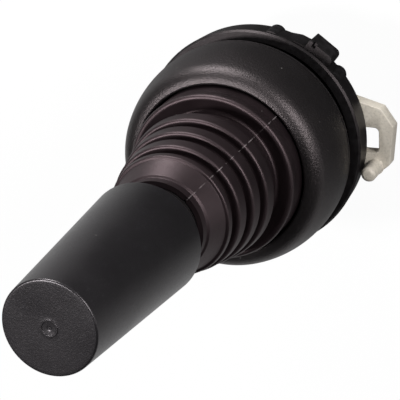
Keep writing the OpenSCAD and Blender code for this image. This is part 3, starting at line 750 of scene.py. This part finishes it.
def raise_flash(piece, boot):
    """Cuts a narrow strip along the parting line and lifts it off the rubber."""
    along = Vector((math.cos(boot.flash_angle), math.sin(boot.flash_angle), 0))
    across = Vector((-along.y, along.x, 0))
    inside_cuts = 0.49 * boot.flash_width
    least_outward = -0.3

    def on_side(face):
        return face.calc_center_median().dot(along) > 0

    def on_strip(face):
        beside = abs(face.calc_center_median().dot(across))
        return on_side(face) and beside < inside_cuts and face.normal.dot(along) > least_outward

    for side in (-0.5, 0.5):
        edit(piece, "FACE", on_side)
        bpy.ops.mesh.bisect(plane_co=across * side * boot.flash_width, plane_no=across)
    edit(piece, "FACE", on_strip)
    bpy.ops.mesh.extrude_region_shrink_fatten(TRANSFORM_OT_shrink_fatten={"value": boot.flash_height})
    bpy.ops.object.mode_set(mode="OBJECT")


class JOYSTICK_OT_boot(bpy.types.Operator):
    """Builds the ribbed rubber boot in two halves, cut at the seam between the two boot nodes"""

    bl_idname = "joystick.boot"
    bl_label = "Boot"

    def execute(self, context):
        boot = context.scene.joystick_boot
        seam = (top_of("boot_lower") + foot_of("boot_upper")) / 2
        outline = boot_outline(boot)
        halves = {}
        for half, keep_low in (("boot_lower_rubber", True), ("boot_upper_rubber", False)):
            piece = turned(half, outline, boot.sides)
            raise_flash(piece, boot)
            apply_modifier(piece, "SOLIDIFY", thickness=boot.wall, offset=-1)
            edit(piece, "FACE", every)
            bpy.ops.mesh.bisect(
                plane_co=(0, 0, seam),
                plane_no=AXIS,
                clear_outer=keep_low,
                clear_inner=not keep_low,
                use_fill=True,
            )
            bpy.ops.object.mode_set(mode="OBJECT")
            smooth(piece, 50)
            wear(piece, bpy.data.materials["Boot rubber"])
            halves[half] = piece
        lower, upper = halves.values()
        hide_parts("boot_lower")
        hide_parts("boot_upper")
        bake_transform(lower)
        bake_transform(upper)
        return {"FINISHED"}


# ---------- grip and bezel ----------


# Corners of the raised gate mark and of its dimple, as steps (outwards, upwards, rounding) in millimetres
GATE_RISE = 0.15
GATE_MARK = ((0.02, 0, 0.06), (0, GATE_RISE, 0.06), (-0.3, GATE_RISE, 0.06), (-0.32, 0, 0.06))
GATE_DIMPLE = ((0.5, 0, 0.1), (0.35, -0.06, 0.05), (0.15, -0.06, 0))
END_LOOPS = (5, 4.4, 3.8, 3.2, 2.6, 2, 1.5)  # loops on the flat end, in radii of the gate mark


class JOYSTICK_OT_grip(bpy.types.Operator):
    """Builds the tapered grip with its recess, rounded rims and gate mark"""

    bl_idname = "joystick.grip"
    bl_label = "Grip"

    def execute(self, context):
        grip = context.scene.joystick_grip
        foot = foot_of("knob")
        end = top_of("knob") - GATE_RISE * MM
        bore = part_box("knob_insert")
        bore_radius = bore[1].x + FIT
        outline = fillet(
            [
                (bore_radius, bore[1].z + FIT, 0),
                (bore_radius, bore[0].z, 0.3 * MM),
                (grip.recess_radius, bore[0].z, 0.4 * MM),
                (grip.recess_radius, foot, 0.35 * MM),
                (grip.root_radius, foot, grip.rounding),
                (grip.end_radius, end, grip.rounding),
                *((k * grip.gate_radius, end, 0) for k in END_LOOPS),
                *(corner(grip.gate_radius, end, step) for step in GATE_MARK),
                *(corner(0, end, step) for step in GATE_DIMPLE),
            ],
            math.radians(12),
        )
        piece = turned("grip_body", outline, grip.sides)
        for _ in ("bore", "dimple"):
            level = open_level(piece)
            edit(piece, "EDGE", lambda edge: edge.is_boundary and abs(edge.verts[0].co.z - level) < WELD)
            bpy.ops.mesh.edge_face_add()
            bpy.ops.object.mode_set(mode="OBJECT")
        face_outwards(piece)
        smooth(piece, 40)
        wear(piece, bpy.data.materials["Satin grip"])
        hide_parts("knob")
        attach(piece, "lever")
        return {"FINISHED"}


FLANK_STEPS, CREST_STEPS, LIP_STEPS = 24, 20, 6
OPENING_LOOPS = (0.6, 0.2, 0)  # loops inside the opening, as shares of the way from the seat to the lip


def bezel_outline(bezel):
    """The bezel's closed outline: rear rim, parting groove, flank, crest, lip, opening and seat."""
    rim = foot_of("bezel")
    crest = Vector((bezel.opening_radius, top_of("bezel") - bezel.crest_rounding))
    girth = Vector((bezel.girth_radius, bezel.girth_height))
    step = crest - girth
    flank_radius = (bezel.crest_rounding**2 - step.length_squared) / (2 * (step.x + bezel.crest_rounding))
    flank = Vector((bezel.girth_radius - flank_radius, bezel.girth_height))
    meet = (crest - flank).angle(Vector((1, 0)))
    seat_radius = radius_of("housing") + FIT
    seat_top = 3.55 * MM

    def on_flank(z):
        return flank.x + math.sqrt(flank_radius**2 - (z - flank.y) ** 2)

    groove, width = rim + 0.9 * MM, 0.35 * MM
    mouth, draft, clear = 0.1 * MM, 0.02 * MM, 0.3 * MM
    round_off = 0.12 * MM
    points = [
        (seat_radius, rim),
        (on_flank(rim) - 3 * round_off, rim),
        (on_flank(rim) - round_off, rim + 0.3 * round_off),
        (on_flank(rim + 2 * round_off), rim + 2 * round_off),
    ]
    for z, inset in (
        (groove - mouth, 0),
        (groove, 0.2),
        (groove + draft, 1),
        (groove + width - draft, 1),
        (groove + width, 0.2),
        (groove + width + mouth, 0),
    ):
        points.append((on_flank(z) - inset * bezel.groove_depth, z))
    start = math.asin((groove + width + clear - flank.y) / flank_radius)
    for k in range(FLANK_STEPS):
        angle = start + (meet - start) * k / FLANK_STEPS
        points.append((flank.x + flank_radius * math.cos(angle), flank.y + flank_radius * math.sin(angle)))
    last = math.pi / 2
    for k in range(CREST_STEPS + 1):
        angle = meet + (last - meet) * k / CREST_STEPS
        spot = crest + bezel.crest_rounding * Vector((math.cos(angle), math.sin(angle)))
        if spot.x > bezel.opening_radius + bezel.lip:
            points.append(tuple(spot))
    lip = Vector((bezel.opening_radius + bezel.lip, top_of("bezel") - bezel.lip))
    for k in range(LIP_STEPS + 1):
        angle = last + last * k / LIP_STEPS
        points.append((lip.x + bezel.lip * math.cos(angle), lip.y + bezel.lip * math.sin(angle)))
    points += [(bezel.opening_radius, seat_top + k * (lip.y - seat_top)) for k in OPENING_LOOPS]
    points.append((seat_radius, seat_top))
    return points


class JOYSTICK_OT_bezel(bpy.types.Operator):
    """Builds the domed bezel with its lip, parting groove and seat for the housing flange"""

    bl_idname = "joystick.bezel"
    bl_label = "Bezel"

    def execute(self, context):
        bezel = context.scene.joystick_bezel
        piece = turned("bezel_shell", bezel_outline(bezel), bezel.sides, closed=True)
        smooth(piece, 35)
        wear(piece, bpy.data.materials["Grained bezel"])
        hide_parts("bezel")
        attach(piece, "root")
        return {"FINISHED"}


# ---------- locking ring, rear cover and springs ----------


class JOYSTICK_OT_rings(bpy.types.Operator):
    """Rounds the moulded edges of the locking ring and the rear cover"""

    bl_idname = "joystick.rings"
    bl_label = "Ring and cover"

    def execute(self, context):
        rings = context.scene.joystick_rings
        same_plane, sharp = math.radians(4), math.radians(35)
        for node, body in (("locking_ring", "lock"), ("rear_cover", "root")):
            piece = copied(node, node + "_moulding")
            edit(piece, "VERT", every)
            bpy.ops.mesh.dissolve_limited(angle_limit=same_plane)
            bpy.ops.object.mode_set(mode="OBJECT")
            apply_modifier(
                piece,
                "BEVEL",
                width=rings.rounding,
                segments=3,
                limit_method="ANGLE",
                angle_limit=sharp,
                use_clamp_overlap=True,
            )
            face_outwards(piece)
            smooth(piece, 30)
            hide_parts(node)
            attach(piece, body)
        return {"FINISHED"}


class JOYSTICK_OT_springs(bpy.types.Operator):
    """Gives the plunger springs smooth copies of their meshes, fixed to the root"""

    bl_idname = "joystick.springs"
    bl_label = "Springs"

    def execute(self, context):
        for side in ("east", "north", "west", "south"):
            piece = copied("spring_" + side, "spring_wire_" + side)
            smooth(piece, 60)
            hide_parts("spring_" + side)
            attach(piece, "root")
            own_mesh(piece)
        return {"FINISHED"}


# ---------- stage ----------


FLOOR_SIZE = 6
FLOOR_SEEN = 0.95  # glow of the floor to the camera
FLOOR_PAINTED_GLOW = 0.6  # painted glow of the floor that lights the joystick and shows in its reflections, far from it
DARK_UNTIL, BRIGHT_FROM = 0.08, 0.16  # distances between which that glow grows from none
DARK_SHIFT = (0.01, 0.09, 0)  # from the middle of the floor's patch without painted glow to the lever's axis
CAMERA_PLACE = (-0.02690, -0.19144, 0.36467)
CAMERA_TURN = (-21.663, 21.289, -145.055)  # in degrees
CAMERA_LENS, CAMERA_SENSOR = 180, 36
CLIP_START = 0.02
WORLD_COLOUR, WORLD_STRENGTH = (0.9, 0.92, 0.95, 1), 0.015
MIDDLE = (0, 0, 0.03)
LIGHTS = (  # name, place, aim, width, height and watts
    ("overhead_softbox", (0.22, 0.10, 0.60), MIDDLE, 0.1, 0.1, 4.5),
    ("right_softbox", (-0.215, -0.475, 0.37), MIDDLE, 0.26, 0.2, 3.4),
    ("side_softbox", (-0.40, -0.33, 0.06), (0, 0, 0), 0.16, 0.12, 0.15),
    ("top_softbox", (0.42, -0.28, 0.10), MIDDLE, 0.18, 0.22, 2.9),
)


def softbox(name, place_at, aim, width, height, power):
    """A soft rectangular light that faces a point."""
    light = bpy.data.lights.new(name, "AREA")
    light.shape = "RECTANGLE"
    light.size, light.size_y, light.energy = width, height, power
    lamp = bpy.data.objects.new(name, light)
    bpy.context.scene.collection.objects.link(lamp)
    lamp.location = place_at
    lamp.rotation_euler = (Vector(aim) - Vector(place_at)).to_track_quat("-Z", "Y").to_euler()


def floor_material(base):
    """A pale floor, bright to the camera, whose painted glow lights the joystick and shows in its
    reflections, but throws little light on the joystick close to it.
    """
    material, tree, shader, spot = blank_material("Pale floor")
    cloud = place(tree, "TexNoise", {"Vector": per_size(tree, spot, 0.3), "Scale": 1.0})
    tone = tinted(tree, shade(base, 0.985), shade(base, 1.01), cloud.outputs["Fac"])
    tree.links.new(tone, shader.inputs["Base Color"])
    shader.inputs["Roughness"].default_value = 0.9
    shader.inputs["Emission Color"].default_value = (1, 1, 1, 1)
    seen = place(tree, "LightPath").outputs["Is Camera Ray"]
    away = place(tree, "Mapping", {"Vector": spot, "Location": DARK_SHIFT}).outputs[0]
    away = place(tree, "VectorMath", {0: away}, operation="LENGTH").outputs["Value"]
    # painted glow onto the joystick: none in a patch near it, growing further out
    glow = remap(tree, away, DARK_UNTIL, BRIGHT_FROM, 0.0, FLOOR_PAINTED_GLOW)
    strength = place(tree, "Mix", {0: seen, 2: glow, 3: FLOOR_SEEN}, data_type="FLOAT").outputs[0]
    tree.links.new(strength, shader.inputs["Emission Strength"])
    shader.inputs["Specular IOR Level"].default_value = 0.1
    return material


class JOYSTICK_OT_stage(bpy.types.Operator):
    """Lays the pale floor and sets the lights and the camera"""

    bl_idname = "joystick.stage"
    bl_label = "Stage"

    def execute(self, context):
        scene = context.scene
        deselect_all()
        bpy.ops.mesh.primitive_plane_add(size=FLOOR_SIZE, location=(0, 0, cad_box[0][2]))
        floor = bpy.context.object
        floor.name = floor.data.name = "pale_floor"
        bpy.ops.object.transform_apply(location=True, rotation=True, scale=True)
        wear(floor, floor_material(scene.joystick_colours.floor))

        camera = bpy.data.objects.new("camera", bpy.data.cameras.new("camera"))
        scene.collection.objects.link(camera)
        camera.data.lens = CAMERA_LENS
        camera.data.sensor_width = CAMERA_SENSOR
        camera.data.clip_start = CLIP_START
        camera.location = CAMERA_PLACE
        camera.rotation_euler = [math.radians(a) for a in CAMERA_TURN]
        scene.camera = camera

        for light in LIGHTS:
            softbox(*light)
        world = bpy.data.worlds.new("Studio")
        scene.world = world
        world.use_nodes = True
        world.node_tree.nodes["Background"].inputs["Color"].default_value = WORLD_COLOUR
        world.node_tree.nodes["Background"].inputs["Strength"].default_value = WORLD_STRENGTH
        scene.view_settings.view_transform = "Standard"
        return {"FINISHED"}


# ---------- panel and registration ----------


class JOYSTICK_PT_panel(bpy.types.Panel):
    """Lists the joystick's pieces"""

    bl_idname = "JOYSTICK_PT_panel"
    bl_label = "Panel joystick"
    bl_space_type = "VIEW_3D"
    bl_region_type = "UI"
    bl_category = "Joystick"

    def draw(self, context):
        for operator in OPERATORS:
            self.layout.operator(operator.bl_idname, text=operator.bl_label)


GROUPS = {
    "joystick_boot": JoystickBoot,
    "joystick_grip": JoystickGrip,
    "joystick_bezel": JoystickBezel,
    "joystick_rings": JoystickRings,
    "joystick_colours": JoystickColours,
}
OPERATORS = (
    JOYSTICK_OT_finishes,
    JOYSTICK_OT_boot,
    JOYSTICK_OT_grip,
    JOYSTICK_OT_bezel,
    JOYSTICK_OT_rings,
    JOYSTICK_OT_springs,
    JOYSTICK_OT_stage,
)


def register():
    for cls in (*GROUPS.values(), *OPERATORS, JOYSTICK_PT_panel):
        bpy.utils.register_class(cls)
    for name, cls in GROUPS.items():
        setattr(bpy.types.Scene, name, PointerProperty(type=cls))


def unregister():
    for name in GROUPS:
        delattr(bpy.types.Scene, name)
    for cls in reversed((*GROUPS.values(), *OPERATORS, JOYSTICK_PT_panel)):
        bpy.utils.unregister_class(cls)


def main():
    register()
    bpy.ops.joystick.finishes()
    bpy.ops.joystick.boot()
    bpy.ops.joystick.grip()
    bpy.ops.joystick.bezel()
    bpy.ops.joystick.rings()
    bpy.ops.joystick.springs()
    bpy.ops.joystick.stage()


if __name__ == "__main__":
    main()
